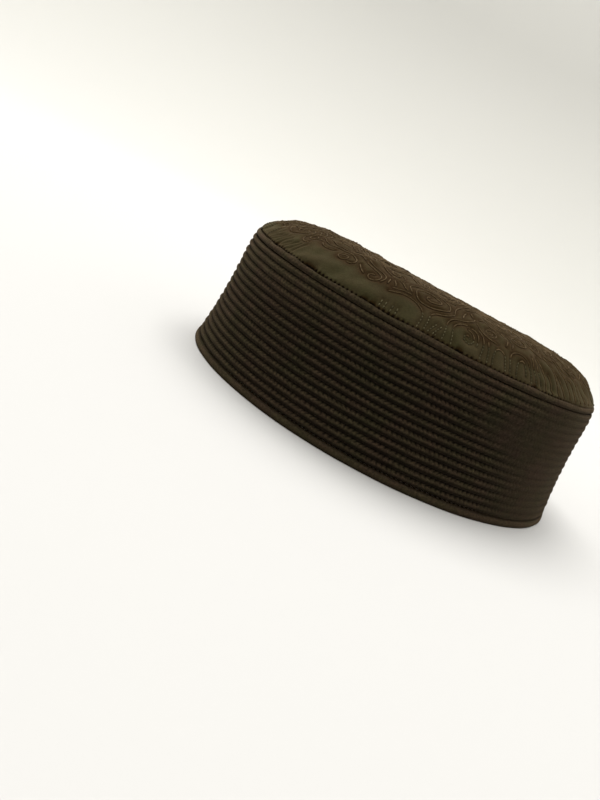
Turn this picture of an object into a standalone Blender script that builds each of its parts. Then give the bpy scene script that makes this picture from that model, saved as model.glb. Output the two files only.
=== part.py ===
"""Prayer cap with an oval quilted crown, a corded side band, a folded strip at the seam and a plain hem.

Metres, +Z up. The origin is the middle of the rim, on the surface that the cap rests on, and +X runs
along the cap's length. Four pieces of cloth follow one outside surface: an oval that draws in a little
at its waist and towards the top, rounds over at the shoulder and closes in a low crown, which leans
down towards the back and one side.
"""

import math
from typing import NamedTuple

import bmesh
import bpy
from mathutils import Vector

# Outside of the cap
HALF_LENGTH = 0.097
HALF_WIDTH = 0.0912
SEAM_HEIGHT = 0.0586
WALL_TAPER = 0.048
TAPER_DIFFERENCE = 0.010
WAIST = 0.018
SHOULDER_START = 0.039
SHOULDER_CLOSE = 0.071
SHOULDER_POWER = 4.5

# Crown: its rise over the seam, its lean for each metre along X and Y, and a soft rise and dip
CROWN_RISE = 0.0125
CROWN_POWER = 9.0
CROWN_LEAN_X = -0.005
CROWN_LEAN_Y = -0.031
CROWN_SWELL = 0.0006
SWELL_CENTRE = -0.060
SWELL_LENGTH = 0.180

# Cloth
WALL = 0.0026
CROWN_WALL = 0.0024
CORNER = 0.0007
GAP = 0.0004

# Side wall, from the rim up
HEM_HEIGHT = 0.0035
RIB_COUNT = 16
RIB_PITCH = 0.00327
RIB_DEPTH = 0.0007
RIB_SHOULDERS = (0.26, 0.74)
INNER_SHARES = (1.0, 0.96, 0.90, 0.82, 0.65, 0.0)

# Seam allowance that hangs inside the wall
ALLOWANCE_DROP = 0.0050
ALLOWANCE_WALL = 0.0010

# Rows of the crown, as distances in from the seam
CROWN_RUN = 0.090
CROWN_STEPS = (0.0004, 0.0017, 0.0034, 0.0056, 0.0090, 0.0140, 0.0215, 0.0320, 0.0460, 0.0620, 0.0770)
LINING_STEPS = (0.0030, 0.0062, 0.0110, 0.0190, 0.0320, 0.0480, 0.0660, 0.0790)

# Faces round the cap, and the steps to either side of a point that its outward direction is read from
ROUND_FACES = 60
STATION_STEP = 0.0012
ANGLE_STEP = 0.00005


class Row(NamedTuple):
    """One ring of a piece: where it lies along the outside, and how deep under it."""

    station: float
    depth: float


def clear_objects():
    """Remove every object that the file opened with."""
    for item in list(bpy.data.objects):
        bpy.data.objects.remove(item, do_unlink=True)


def wall_share(angle, height):
    """Share of the rim's oval that is left at a height on the wall."""
    climb = max(0.0, (height - SHOULDER_START) / (SHOULDER_CLOSE - SHOULDER_START))
    rounding = (1.0 - climb**SHOULDER_POWER) ** (1.0 / SHOULDER_POWER)
    rise = height / SEAM_HEIGHT
    taper = (WALL_TAPER + TAPER_DIFFERENCE * math.cos(angle)) * rise
    waist = 4.0 * WAIST * rise * (1.0 - rise)
    return (1.0 - taper - waist) * rounding


def crown_height(x, y, inward):
    """Height of the crown at a share of the way in from the seam to the middle."""
    swell = CROWN_SWELL * math.cos(math.tau * (x - SWELL_CENTRE) / SWELL_LENGTH)
    full_rise = CROWN_RISE + CROWN_LEAN_X * x + CROWN_LEAN_Y * y + swell
    return SEAM_HEIGHT + full_rise * (1.0 - (1.0 - inward) ** CROWN_POWER)


def outside(angle, station):
    """Point of the outside at an angle round the cap and a station.

    The station is the height up to the seam, and from there it goes on with the way in over the crown.
    """
    inward = max(0.0, station - SEAM_HEIGHT) / CROWN_RUN
    share = wall_share(angle, min(station, SEAM_HEIGHT)) * (1.0 - inward)
    x = HALF_LENGTH * share * math.cos(angle)
    y = HALF_WIDTH * share * math.sin(angle)
    height = crown_height(x, y, inward) if inward > 0.0 else station
    return Vector((x, y, height))


def outward(angle, station):
    """Direction of the cloth's thickness: level at the rim, square to the outside from the shoulder up."""
    along = outside(angle, station + STATION_STEP) - outside(angle, station - STATION_STEP)
    around = outside(angle + ANGLE_STEP, station) - outside(angle - ANGLE_STEP, station)
    normal = around.cross(along).normalized()
    rise = (station - HEM_HEIGHT) / (SHOULDER_START - HEM_HEIGHT)
    normal.z *= min(1.0, max(0.0, rise))
    return normal.normalized()


def ring(row):
    """Points of one row, round the cap."""
    angles = [math.tau * step / ROUND_FACES for step in range(ROUND_FACES)]
    return [outside(a, row.station) - row.depth * outward(a, row.station) for a in angles]


def new_material(name, colour, roughness):
    """Cloth material with a colour and a roughness."""
    material = bpy.data.materials.new(name)
    material.use_nodes = True
    shader = material.node_tree.nodes["Principled BSDF"]
    shader.inputs["Base Color"].default_value = (*colour, 1.0)
    shader.inputs["Roughness"].default_value = roughness
    shader.inputs["Metallic"].default_value = 0.0
    material.diffuse_color = (*colour, 1.0)
    return material


def add_ring_faces(shape, lower, upper):
    """Fill the strip between two rings of vertices."""
    for step in range(ROUND_FACES):
        after = (step + 1) % ROUND_FACES
        shape.faces.new((lower[step], lower[after], upper[after], upper[step]))


def finish_piece(shape, name, material):
    """Turn a finished mesh into a named object with smooth shading and its material."""
    bmesh.ops.recalc_face_normals(shape, faces=shape.faces)
    mesh = bpy.data.meshes.new(name)
    shape.to_mesh(mesh)
    shape.free()
    mesh.materials.append(material)
    mesh.shade_smooth()
    mesh.set_sharp_from_angle(angle=math.radians(40.0))
    piece = bpy.data.objects.new(name, mesh)
    bpy.context.scene.collection.objects.link(piece)
    return piece


def ring_piece(name, rows, material):
    """Closed ring of cloth whose section is the loop of rows."""
    shape = bmesh.new()
    rings = [[shape.verts.new(point) for point in ring(row)] for row in rows]
    for index, lower in enumerate(rings):
        add_ring_faces(shape, lower, rings[(index + 1) % len(rings)])
    return finish_piece(shape, name, material)


def dome_piece(name, rows, centre_depths, material):
    """Closed shell whose section runs from the top centre out, round the edge and back in underneath."""
    shape = bmesh.new()
    rings = [[shape.verts.new(point) for point in ring(row)] for row in rows]
    for lower, upper in zip(rings, rings[1:]):
        add_ring_faces(shape, lower, upper)
    top = outside(0.0, SEAM_HEIGHT + CROWN_RUN)
    for edge, depth in zip((rings[0], rings[-1]), centre_depths):
        centre = shape.verts.new(top - Vector((0.0, 0.0, depth)))
        for step in range(ROUND_FACES):
            shape.faces.new((centre, edge[step], edge[(step + 1) % ROUND_FACES]))
    return finish_piece(shape, name, material)


def strip_rows(low, high):
    """Section of a plain strip with rounded corners on its outside."""
    return [
        Row(low, CORNER),
        Row(low + CORNER, 0.0),
        Row(high - CORNER, 0.0),
        Row(high, CORNER),
        Row(high, WALL),
        Row(low, WALL),
    ]


def build_hem(material):
    """Plain strip along the rim, flat underneath, with its inner corner rounded too."""
    high = HEM_HEIGHT - GAP / 2.0
    rows = strip_rows(0.0, high)[:-1]
    rows += [Row(CORNER, WALL), Row(0.0, WALL - CORNER)]
    return ring_piece("hem", rows, material)


def build_side_band(material):
    """Corded side wall: one rib for each pitch, pinched in at the stitch lines between them."""
    low = HEM_HEIGHT + GAP / 2.0
    high = HEM_HEIGHT + RIB_COUNT * RIB_PITCH - GAP / 2.0
    pitch = (high - low) / RIB_COUNT
    rows = [Row(low, RIB_DEPTH)]
    for rib in range(RIB_COUNT):
        rows += [Row(low + (rib + share) * pitch, 0.0) for share in RIB_SHOULDERS]
        rows.append(Row(low + (rib + 1) * pitch, RIB_DEPTH))
    rows += [Row(low + (high - low) * share, WALL) for share in INNER_SHARES]
    return ring_piece("side_band", rows, material)


def build_seam_fold(material):
    """Narrow folded strip on top of the band, under the crown's edge."""
    low = HEM_HEIGHT + RIB_COUNT * RIB_PITCH + GAP / 2.0
    return ring_piece("seam_fold", strip_rows(low, SEAM_HEIGHT), material)


def build_crown(material):
    """Domed top, whose edge sits on the folded strip and turns down inside the wall."""
    edge = SEAM_HEIGHT + GAP
    tucked = WALL + GAP
    rows = [Row(SEAM_HEIGHT + step, 0.0) for step in reversed(CROWN_STEPS)]
    rows += [
        Row(edge, tucked),
        Row(SEAM_HEIGHT - ALLOWANCE_DROP, tucked),
        Row(SEAM_HEIGHT - ALLOWANCE_DROP, tucked + ALLOWANCE_WALL),
        Row(edge, tucked + ALLOWANCE_WALL),
    ]
    rows += [Row(SEAM_HEIGHT + step, CROWN_WALL) for step in LINING_STEPS]
    return dome_piece("crown", rows, (0.0, CROWN_WALL), material)


def main():
    """Build the cap from the rim up."""
    clear_objects()
    band_cloth = new_material("band_cloth", (0.027, 0.019, 0.011), 0.85)
    crown_cloth = new_material("crown_cloth", (0.046, 0.035, 0.017), 0.80)
    build_hem(band_cloth)
    build_side_band(band_cloth)
    build_seam_fold(band_cloth)
    build_crown(crown_cloth)


main()
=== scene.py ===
"""A dark prayer cap at rest: plain hem, corded side band, folded seam and scroll-quilted crown.

Sizes are in metres in the frame's own axes: +Z up, the cap's length along X, its rim on z = 0.
The cap's skin is worked out from a few sizes, and every piece is laid on that skin: cloth by a lift
of each point along the skin's normal, sewing thread by one small solid for each stitch.
"""

import logging
from dataclasses import dataclass, field, fields
from enum import Enum
from math import atan2, cos, hypot, pi, radians, sin, tau
from typing import Callable

import bpy
import numpy as np
from mathutils import Matrix, Vector
from mathutils.kdtree import KDTree


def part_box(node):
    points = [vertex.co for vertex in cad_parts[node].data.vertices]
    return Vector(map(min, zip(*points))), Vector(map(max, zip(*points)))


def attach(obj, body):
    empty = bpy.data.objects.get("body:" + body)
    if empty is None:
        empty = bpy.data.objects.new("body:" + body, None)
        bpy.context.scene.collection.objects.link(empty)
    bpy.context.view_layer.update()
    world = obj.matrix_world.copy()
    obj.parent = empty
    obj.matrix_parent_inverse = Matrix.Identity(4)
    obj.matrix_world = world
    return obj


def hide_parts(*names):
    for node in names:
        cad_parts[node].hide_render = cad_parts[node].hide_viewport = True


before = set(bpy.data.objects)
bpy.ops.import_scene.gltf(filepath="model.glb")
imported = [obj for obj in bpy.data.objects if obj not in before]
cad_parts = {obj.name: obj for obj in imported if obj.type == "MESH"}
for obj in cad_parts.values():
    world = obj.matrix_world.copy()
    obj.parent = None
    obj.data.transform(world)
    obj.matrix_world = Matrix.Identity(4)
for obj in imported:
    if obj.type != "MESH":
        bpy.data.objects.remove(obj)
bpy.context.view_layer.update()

Array = np.ndarray
Colour = tuple[float, float, float, float]
Pair = tuple[float, float]
Marks = tuple[Pair, ...]
Shares = tuple[float, ...]
Material = bpy.types.Material
Piece = bpy.types.Object
Socket = bpy.types.NodeSocket
Noise = tuple[float, float, float]
Ground = Callable[[Array], Array]

BODY = "root"
CLOTH_MAP = "cloth"
LIGHT_SHARE = "light_share"
LINING_LIGHT_SHARE = 0.6
WAVE_RATE = 20.0

log = logging.getLogger("prayer_cap")


class Slot(Enum):
    """The record's material slots."""

    CROWN = "crown_cloth"
    BAND = "band_cloth"


class Hand(Enum):
    """Which way a scroll is wound as it opens."""

    LEFT = 1.0
    RIGHT = -1.0


def smooth_step(low: float, high: float, value: Array) -> Array:
    """Ease values from 0 at low to 1 at high."""
    share = np.clip((value - low) / (high - low), 0.0, 1.0)
    return share * share * (3.0 - 2.0 * share)


def bell(value: Array, width: float, power: int = 2) -> Array:
    """Ease values from 1 at zero to 0 well past a width."""
    return np.exp(-((value / width) ** power))


def within(value: Array, low: float, high: float) -> Array:
    """Say which values lie between low and high."""
    return (value > low) & (value < high)


def unit(vectors: Array) -> Array:
    """Scale vectors along the last axis to length 1."""
    return vectors / np.maximum(np.linalg.norm(vectors, axis=-1, keepdims=True), 1e-12)


def from_polar(far: Array, angle: Array) -> Array:
    """Turn distances from the middle and angles into flat points."""
    return np.stack([far * np.cos(angle), far * np.sin(angle)], axis=-1)


def far_out(flat: Array) -> Array:
    """Measure how far flat points lie from the middle."""
    return np.hypot(flat[..., 0], flat[..., 1])


def heading(flat: Array) -> Array:
    """Find the angles of flat points, between minus and plus half a turn."""
    return np.arctan2(flat[..., 1], flat[..., 0])


def walk(path: Array) -> Array:
    """Measure the way along a flat path to each of its points."""
    return np.concatenate(([0.0], np.cumsum(np.hypot(*np.diff(path, axis=0).T))))


def points_along(path: Array, ways: Array, marks: Array) -> Array:
    """Find the points of a flat path at some marks, from the way to each of its own points."""
    return np.stack([np.interp(marks, ways, path[:, k]) for k in (0, 1)], axis=-1)


def closed(grid: Array, axis: int) -> Array:
    """Repeat a grid's first row, or its first column, after the last."""
    return np.concatenate([grid, np.take(grid, [0], axis=axis)], axis=axis)


def cells(grid: Array) -> Array:
    """Gather the four corners of every cell of a grid."""
    low, high = grid[..., :-1, :], grid[..., 1:, :]
    return np.stack([low[..., :-1], low[..., 1:], high[..., 1:], high[..., :-1]], axis=-1)


def put(name: str, data: bpy.types.ID) -> Piece:
    """Put a new object into the scene.

    Args:
        name: Its name.
        data: Its mesh, lamp or camera.

    Returns:
        The object.
    """
    made = bpy.data.objects.new(name, data)
    bpy.context.scene.collection.objects.link(made)
    return made


@dataclass(frozen=True)
class Waves:
    """Gentle, hand-made unevenness: a few waves in seeded directions, added together.

    Most of its values lie between minus and plus its size. Round the cap, each step of the level moves
    on through the waves by the climb.
    """

    size: float
    length: float
    seed: int
    climb: float = 0.05
    count: int = 7

    def at(self, points: Array) -> Array:
        """Work out the unevenness at some points.

        Args:
            points: Points along the last axis, in any number of dimensions.

        Returns:
            Its value at each point.
        """
        chance = np.random.default_rng(self.seed)
        ways = unit(chance.normal(size=(self.count, points.shape[-1])))
        lengths = self.length * chance.uniform(0.7, 1.5, self.count)
        starts = chance.uniform(0.0, tau, self.count)
        total = np.sin(points @ (ways / lengths[:, None] * tau).T + starts).sum(axis=-1)
        return self.size * (total / np.sqrt(self.count))

    def round_cap(self, angle: Array, level: Array) -> Array:
        """Work out the unevenness round the cap, where it meets itself again, at some level."""
        ring = np.broadcast_arrays(np.cos(angle), np.sin(angle), level * self.climb)
        return self.at(np.stack(ring, axis=-1))


@dataclass(frozen=True)
class CapOutline:
    """The cap's outer skin.

    A point on it has an angle round the cap and a station on its profile. The station is the height
    above the floor up to the seam, and from there it goes on, over the crown, to the middle.
    """

    half_length: float
    half_width: float
    seam_height: float = 0.0586
    hem_height: float = 0.0035
    wall_taper: float = 0.048
    taper_difference: float = 0.010
    waist: float = 0.018
    shoulder_start: float = 0.039
    shoulder_close: float = 0.071
    shoulder_power: float = 4.5
    crown_rise: float = 0.0125
    crown_power: float = 9.0
    crown_lean: Pair = (-0.005, -0.031)
    crown_swell: float = 0.0006
    swell_centre: float = -0.060
    swell_length: float = 0.180
    crown_run: float = 0.090
    wall: float = 0.0026
    crown_wall: float = 0.0024
    gap: float = 0.0004
    angle_step: float = 0.00005
    station_step: float = 0.0012

    @property
    def girth(self) -> float:
        """The way round the rim."""
        return tau * (self.half_length + self.half_width) / 2

    def wall_share(self, angle: Array, height: Array) -> Array:
        """Find how much of the rim's oval is left on the wall.

        Args:
            angle: Angles round the cap.
            height: Heights above the floor.

        Returns:
            The share left at each, 1 at the rim.
        """
        climb = (height - self.shoulder_start) / (self.shoulder_close - self.shoulder_start)
        rounding = (1.0 - np.clip(climb, 0.0, 1.0)**self.shoulder_power) ** (1.0 / self.shoulder_power)
        rise = height / self.seam_height
        taper = (self.wall_taper + self.taper_difference * np.cos(angle)) * rise
        waist = 4.0 * self.waist * rise * (1.0 - rise)
        return (1.0 - taper - waist) * rounding

    def skin(self, angle: Array, station: Array) -> Array:
        """Find points of the skin.

        Args:
            angle: Angles round the cap.
            station: Stations on the profile.

        Returns:
            The points, along a new last axis.
        """
        inward = np.clip((station - self.seam_height) / self.crown_run, 0.0, 1.0)
        height = np.minimum(station, self.seam_height)
        share = self.wall_share(angle, height) * (1.0 - inward)
        x = self.half_length * share * np.cos(angle)
        y = self.half_width * share * np.sin(angle)
        swell = self.crown_swell * np.cos(tau * (x - self.swell_centre) / self.swell_length)
        full_rise = self.crown_rise + self.crown_lean[0] * x + self.crown_lean[1] * y + swell
        rise = full_rise * (1.0 - (1.0 - inward) ** self.crown_power)
        return np.stack([x, y, height + rise], axis=-1)

    def outward(self, angle: Array, station: Array) -> Array:
        """Find the skin's unit normals, kept level near the rim so that the cap stands flat.

        Args:
            angle: Angles round the cap.
            station: Stations on the profile, clear of the crown's middle.

        Returns:
            The normals, which point out of the cap.
        """
        turn, step = self.angle_step, self.station_step
        sideways = self.skin(angle + turn, station) - self.skin(angle - turn, station)
        upwards = self.skin(angle, station + step) - self.skin(angle, station - step)
        normal = unit(np.cross(sideways, upwards))
        rise = (station - self.hem_height) / (self.shoulder_start - self.hem_height)
        normal[..., 2] *= np.clip(rise, 0.0, 1.0)
        return unit(normal)

    def lifted(self, angle: Array, station: Array, lift: Array) -> Array:
        """Find the points that stand proud of the skin by a lift."""
        return self.skin(angle, station) + np.asarray(lift)[..., None] * self.outward(angle, station)


@dataclass
class CrownSheet:
    """The crown cloth rolled out flat: a point's distance from the middle is its way on the crown."""

    outline: CapOutline
    meridian: float = radians(250.0)
    samples: int = 400
    probe: float = 0.00004
    stations: Array = field(init=False)
    ways: Array = field(init=False)

    def __post_init__(self) -> None:
        """Measure the way from the seam to the middle along the meridian that the photo shows best."""
        seam = self.outline.seam_height
        self.stations = np.linspace(seam, seam + self.outline.crown_run, self.samples)
        line = self.outline.skin(np.full(self.samples, self.meridian), self.stations)
        steps = np.linalg.norm(np.diff(line, axis=0), axis=1)
        self.ways = np.concatenate(([0.0], np.cumsum(steps)))

    @property
    def reach(self) -> float:
        """The way from the middle to the seam."""
        return float(self.ways[-1])

    def inset(self, flat: Array) -> Array:
        """Measure how far in from the seam flat points lie."""
        return self.reach - far_out(flat)

    def skin(self, flat: Array) -> Array:
        """Find the points of the skin under flat points."""
        station = np.interp(self.inset(flat), self.ways, self.stations)
        return self.outline.skin(heading(flat), station)

    def outward(self, flat: Array) -> Array:
        """Find the skin's unit normals at flat points, the crown's middle included.

        Args:
            flat: Flat points.

        Returns:
            The normals, which point out of the cap.
        """
        held = (self.reach - 2.0 * self.probe) / np.maximum(far_out(flat)[..., None], 1e-9)
        inner = flat * np.minimum(1.0, held)
        steps = self.probe * np.eye(2)
        return unit(np.cross(*(self.skin(inner + step) - self.skin(inner - step) for step in steps)))


@dataclass
class ClothMesh:
    """Collects one piece's points, faces and cloth coordinates, and makes its object."""

    name: str
    points: list[Array] = field(default_factory=list)
    light_share: list[Array] = field(default_factory=list)
    faces: list[list[int]] = field(default_factory=list)
    maps: list[Array] = field(default_factory=list)

    def add_points(self, points: Array, light_share: Array | float) -> Array:
        """Add points.

        Args:
            points: The points, along the last axis.
            light_share: How much painted light each gets, 0 in painted shade and 1 in painted light.

        Returns:
            The points' numbers, laid out like the points.
        """
        layout = points.shape[:-1]
        first = sum(len(part) for part in self.points)
        self.points.append(points.reshape(-1, 3))
        self.light_share.append(np.broadcast_to(light_share, layout).reshape(-1))
        return first + np.arange(len(self.points[-1])).reshape(layout)

    def add_faces(self, corners: Array, cloth: Array) -> None:
        """Add faces by the numbers of their corners, with two cloth coordinates for each corner."""
        self.faces += corners.reshape(-1, corners.shape[-1]).tolist()
        self.maps.append(cloth.reshape(-1, 2))

    def add_grid(self, numbers: Array, across: Array | float, along: Array | float) -> None:
        """Join a grid of numbered points into faces, with the cloth coordinates across and along it."""
        across, along, _ = np.broadcast_arrays(across, along, numbers)
        self.add_faces(cells(numbers), np.stack([cells(across), cells(along)], axis=-1))

    def add_fan(self, first: Array, second: Array, tip: Array) -> None:
        """Add a triangle from each first point to the second and the tip."""
        corners = np.stack(np.broadcast_arrays(first, second, tip), axis=-1)
        self.add_faces(corners, np.zeros((corners.size, 2)))

    def add_loop(self, points: Array, light_share: Array, girth: float, along: Array) -> None:
        """Add rows of points round the cap, closed both ways, and their cloth coordinates."""
        numbers = closed(closed(self.add_points(points, light_share), 0), 1)
        self.add_grid(numbers, np.linspace(0.0, girth, numbers.shape[1]), along[:, None])

    def build(self) -> Piece:
        """Make the object.

        Returns:
            The new object, smooth-shaded, in the scene.
        """
        mesh = bpy.data.meshes.new(self.name)
        mesh.from_pydata(np.concatenate(self.points).tolist(), [], self.faces)
        layer = mesh.uv_layers.new(name=CLOTH_MAP)
        layer.data.foreach_set("uv", np.concatenate(self.maps).astype(np.float32).ravel())
        mark = mesh.attributes.new(LIGHT_SHARE, "FLOAT", "POINT")
        mark.data.foreach_set("value", np.concatenate(self.light_share).astype(np.float32))
        mesh.shade_smooth()
        mesh.validate()
        return put(self.name, mesh)


@dataclass(frozen=True)
class Thread:
    """Sewing thread as it lies in cloth: one tapered solid for each stitch."""

    radius: float
    sides: int = 5
    swell: Shares = (0.85, 1.0, 0.85)

    def sew(self, name: str, centres: Array, outward: Array) -> Piece:
        """Make every stitch of a piece.

        Args:
            name: The piece's name.
            centres: Points along each stitch, shaped stitch, point, xyz, both ends included.
            outward: The cloth's normal at each of those points.

        Returns:
            The new object.
        """
        along = unit(np.gradient(centres, axis=1))
        side = unit(np.cross(along, outward))
        lift = np.cross(side, along)
        turn = np.arange(self.sides)[:, None] / self.sides * tau
        spokes = np.cos(turn) * lift[:, 1:-1, None] + np.sin(turn) * side[:, 1:-1, None]
        thick = self.radius * np.array(self.swell)[:, None, None]
        made = ClothMesh(name)
        belts = closed(made.add_points(centres[:, 1:-1, None] + thick * spokes, 1.0), 2)
        tips = made.add_points(centres[:, [0, -1]], 1.0)
        length = np.linalg.norm(np.diff(centres, axis=1), axis=2).sum(axis=1)[:, None, None]
        lengths = np.linspace(0.0, 1.0, centres.shape[1])[1:-1, None] * length
        made.add_grid(belts, lengths, np.arange(self.sides + 1) * self.radius * tau / self.sides)
        made.add_fan(belts[:, 0, 1:], belts[:, 0, :-1], tips[:, :1])
        made.add_fan(belts[:, -1, :-1], belts[:, -1, 1:], tips[:, 1:])
        return made.build()


class Wiring:
    """A new material's node tree, with short ways to add nodes and to join them."""

    def __init__(self, name: str) -> None:
        """Start the material under its name."""
        self.material = bpy.data.materials.new(name)
        self.material.use_nodes = True

    def fill(self, node: bpy.types.Node, inputs: dict) -> None:
        """Fill a node's inputs.

        Args:
            node: The node.
            inputs: A value to copy or a socket to join, by the input's name or number.
        """
        for name, value in inputs.items():
            if isinstance(value, Socket):
                self.material.node_tree.links.new(value, node.inputs[name])
            else:
                node.inputs[name].default_value = value

    def finished(self, inputs: dict) -> Material:
        """Fill the shader's inputs and give the finished material."""
        self.fill(self.material.node_tree.nodes["Principled BSDF"], inputs)
        return self.material

    def add(self, kind: str, output: str | int, inputs: dict, **settings: object) -> Socket:
        """Add a node.

        Args:
            kind: The node's type.
            output: The output to use, by its name or number.
            inputs: A value to copy or a socket to join, by the input's name or number.
            **settings: The node's own settings.

        Returns:
            The output's socket.
        """
        made = self.material.node_tree.nodes.new(kind)
        for name, value in settings.items():
            setattr(made, name, value)
        self.fill(made, inputs)
        return made.outputs[output]

    def noise(self, size: float, detail: float, rough: float) -> Socket:
        """Add a noise pattern that is fixed to the piece.

        Args:
            size: The pattern's size in metres.
            detail: How many finer layers it has.
            rough: How strong the finer layers are.

        Returns:
            The socket of its value.
        """
        place = self.add("ShaderNodeTexCoord", "Object", {})
        inputs = {"Vector": place, "Scale": 1.0 / size, "Detail": detail, "Roughness": rough}
        return self.add("ShaderNodeTexNoise", "Fac", inputs)

    def wave(self, pitch: float, direction: str) -> Socket:
        """Add ridges at a pitch in metres, fixed to the cloth's own coordinates."""
        inputs = {"Vector": self.cloth(), "Scale": tau / (WAVE_RATE * pitch)}
        return self.add("ShaderNodeTexWave", "Fac", inputs, bands_direction=direction)

    def cloth(self) -> Socket:
        """Read a point's cloth coordinates."""
        return self.add("ShaderNodeUVMap", "UV", {}, uv_map=CLOTH_MAP)

    def height(self) -> Socket:
        """Read the painted light share that a point carries, 0 in painted shade and 1 in painted light."""
        return self.add("ShaderNodeAttribute", "Fac", {}, attribute_name=LIGHT_SHARE)

    def work_out(self, operation: str, first: object, second: object) -> Socket:
        """Work out one operation on two values or sockets."""
        return self.add("ShaderNodeMath", 0, {0: first, 1: second}, operation=operation)

    def ramp(self, value: Socket, low: float, high: float) -> Socket:
        """Stretch what lies between low and high to 0 to 1."""
        inputs = {"Value": value, "From Min": low, "From Max": high}
        return self.add("ShaderNodeMapRange", "Result", inputs, interpolation_type="SMOOTHSTEP")

    def spread(self, value: Socket, source: Pair, result: Pair) -> Socket:
        """Map one range of values evenly to another."""
        ends = zip(("From Min", "From Max", "To Min", "To Max"), source + result)
        return self.add("ShaderNodeMapRange", "Result", {"Value": value, **dict(ends)})

    def blend(self, share: object, first: object, second: object, how: str = "MIX") -> Socket:
        """Mix two colours or sockets, by the share of the second."""
        inputs = {0: share, 6: first, 7: second}
        return self.add("ShaderNodeMix", 2, inputs, data_type="RGBA", blend_type=how)

    def bump(self, height: Socket, strength: float, depth: float, **under: Socket) -> Socket:
        """Raise the surface by a pattern's height, over another bump if one is given as Normal."""
        inputs = {"Height": height, "Strength": strength, "Distance": depth, **under}
        return self.add("ShaderNodeBump", "Normal", inputs)


@dataclass(frozen=True)
class WovenCotton:
    """Fine dyed cotton: plain weave, patchy dye, painted light on dusty crests, painted shade in creases,
    soft sheen.
    """

    name: str
    main: Colour
    patch: Colour
    lit_and_dusty_crest: Colour
    shaded_crease: Colour
    dustiness: float = 0.35
    grain: float = 0.15
    warm: Colour = (1.06, 0.97, 1.04, 1.0)
    cool: Colour = (0.94, 1.03, 0.93, 1.0)
    patches: Noise = (0.014, 3.0, 0.6)
    patch_range: Pair = (0.38, 0.66)
    dust: Noise = (0.0042, 4.0, 0.65)
    dust_range: Pair = (0.35, 0.75)
    tints: Noise = (0.0112, 3.0, 0.6)
    tint_range: Pair = (0.32, 0.68)
    fuzz: Noise = (0.0009, 4.0, 0.7)
    fuzz_range: Pair = (0.3, 0.7)
    lit_range: Pair = (0.35, 1.0)
    shaded_range: Pair = (0.40, 0.0)
    thread_pitch: float = 0.00042
    weave_bump: Pair = (0.7, 0.00005)
    fuzz_bump: Pair = (0.6, 0.00012)
    dullness: Noise = (0.007, 3.0, 0.55)
    roughness: Pair = (0.82, 0.96)
    sheen: float = 0.10
    sheen_roughness: float = 0.45
    sheen_tint: Colour = (0.80, 0.56, 0.33, 1.0)
    shine: float = 0.03

    def make(self) -> Material:
        """Build the material.

        Returns:
            The material.
        """
        wiring = Wiring(self.name)
        return wiring.finished({
            "Base Color": self.dye(wiring),
            "Roughness": wiring.spread(wiring.noise(*self.dullness), (0.0, 1.0), self.roughness),
            "Normal": self.surface(wiring),
            "Sheen Weight": self.sheen,
            "Sheen Roughness": self.sheen_roughness,
            "Sheen Tint": self.sheen_tint,
            "Specular IOR Level": self.shine,
        })

    def dye(self, wiring: Wiring) -> Socket:
        """Colour the cloth.

        Args:
            wiring: The material's node tree.

        Returns:
            The colour's socket.
        """
        patches = wiring.ramp(wiring.noise(*self.patches), *self.patch_range)
        colour = wiring.blend(patches, self.main, self.patch)
        dust = wiring.ramp(wiring.noise(*self.dust), *self.dust_range)
        clean = wiring.work_out("MULTIPLY", wiring.work_out("SUBTRACT", 1.0, dust), self.dustiness)
        # Painted light and shade: crests take the lighter crest colour, broken up by a dust pattern, and
        # grooves the darker crease colour, by each point's painted light share.
        crest = wiring.ramp(wiring.height(), *self.lit_range)
        lit_and_dusty_crest = wiring.work_out("MULTIPLY", crest, wiring.work_out("SUBTRACT", 1.0, clean))
        colour = wiring.blend(lit_and_dusty_crest, colour, self.lit_and_dusty_crest)
        colour = wiring.blend(wiring.ramp(wiring.height(), *self.shaded_range), colour, self.shaded_crease)
        tints = wiring.ramp(wiring.noise(*self.tints), *self.tint_range)
        colour = wiring.blend(1.0, colour, wiring.blend(tints, self.warm, self.cool), "MULTIPLY")
        shades = (1.0 - self.grain, 1.0 + self.grain)
        fibres = wiring.spread(wiring.noise(*self.fuzz), self.fuzz_range, shades)
        return wiring.blend(1.0, colour, fibres, "MULTIPLY")

    def surface(self, wiring: Wiring) -> Socket:
        """Raise the weave's threads and the cloth's fuzz.

        Args:
            wiring: The material's node tree.

        Returns:
            The normal's socket.
        """
        warp, weft = (wiring.wave(2.0 * self.thread_pitch, direction) for direction in "XY")
        check = {"Vector": wiring.cloth(), "Scale": 1.0 / self.thread_pitch}
        over = wiring.add("ShaderNodeTexChecker", "Fac", check)
        weave = wiring.add("ShaderNodeMix", 0, {0: over, 2: warp, 3: weft}, data_type="FLOAT")
        soft = wiring.bump(wiring.noise(*self.fuzz), *self.fuzz_bump)
        return wiring.bump(weave, *self.weave_bump, Normal=soft)


@dataclass(frozen=True)
class SewingThread:
    """Twisted cotton thread, a little smoother than the cloth it is sewn in."""

    name: str
    main: Colour
    light: Colour
    patches: Noise = (0.006, 4.0, 0.65)
    patch_range: Pair = (0.35, 0.68)
    twist_pitch: float = 0.0005
    twist_bump: Pair = (0.8, 0.00004)
    sheen: float = 0.05
    sheen_roughness: float = 0.4
    shine: float = 0.06
    roughness: float = 0.70

    def make(self) -> Material:
        """Build the material.

        Returns:
            The material.
        """
        wiring = Wiring(self.name)
        shade = wiring.ramp(wiring.noise(*self.patches), *self.patch_range)
        return wiring.finished({
            "Base Color": wiring.blend(shade, self.main, self.light),
            "Roughness": self.roughness,
            "Normal": wiring.bump(wiring.wave(self.twist_pitch, "DIAGONAL"), *self.twist_bump),
            "Sheen Weight": self.sheen,
            "Sheen Roughness": self.sheen_roughness,
            "Sheen Tint": self.light,
            "Specular IOR Level": self.shine,
        })


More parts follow.
